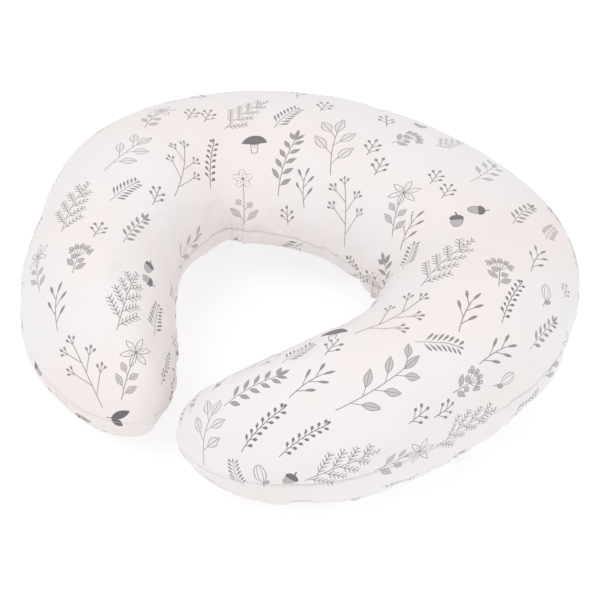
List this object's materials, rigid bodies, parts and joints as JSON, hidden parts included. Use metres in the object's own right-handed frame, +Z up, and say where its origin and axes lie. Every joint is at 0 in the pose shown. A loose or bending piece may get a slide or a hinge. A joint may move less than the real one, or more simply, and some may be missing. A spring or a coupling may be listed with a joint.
{
  "type": "nursing pillow",
  "caption": "C-shaped stuffed nursing pillow: a printed two-panel cotton cover with a zip round the back, over a filled inner case.",
  "frame": {"origin": "under the middle of the bounding box, on the surface the pillow lies on", "axes": "+X across the two arms, +Y towards the back of the C (its mouth faces -Y), +Z up"},
  "size_m": [0.561, 0.512, 0.1627],
  "materials": {
    "cover_cotton": "plain-weave cotton, off-white with a grey printed plant pattern",
    "sewing_thread": "matte polyester thread",
    "zip_tape": "woven polyester tape, off-white",
    "zip_nylon": "nylon coil, satin",
    "nickel": "satin nickel-plated zinc",
    "label_satin": "blank woven satin",
    "case_lawn": "fine white cotton lawn",
    "polyester_fibre": "loose white polyester fibre"
  },
  "bodies": {
    "pillow": {"cover_top_panel": "cover_cotton", "cover_bottom_panel": "cover_cotton", "cover_seam_thread": "sewing_thread", "zip_tape_upper": "zip_tape", "zip_tape_lower": "zip_tape", "zip_coil_upper": "zip_nylon", "zip_coil_lower": "zip_nylon", "zip_top_stop_upper": "nickel", "zip_top_stop_lower": "nickel", "zip_bottom_stop": "nickel", "zip_topstitch_upper": "sewing_thread", "zip_topstitch_lower": "sewing_thread", "care_label": "label_satin", "inner_case_top_panel": "case_lawn", "inner_case_bottom_panel": "case_lawn", "inner_case_seam_thread": "sewing_thread", "inner_case_closing_stitches": "sewing_thread", "fibre_filling": "polyester_fibre"},
    "slider": {"zip_slider": "nickel"},
    "pull": {"zip_pull_tab": "nickel"}
  },
  "joints": [
    {"name": "zip_travel", "type": "hinge", "parent": "pillow", "child": "slider", "pos_m": [0, -0.11225, 0.078], "axis": [0, 0, 1], "range_deg": [0, 43.9]},
    {"name": "pull_swing", "type": "hinge", "parent": "slider", "child": "pull", "pos_m": [0.13895, 0.23185, 0.078], "axis": [0, 0, -1], "range_deg": [0, 175]}
  ]
}
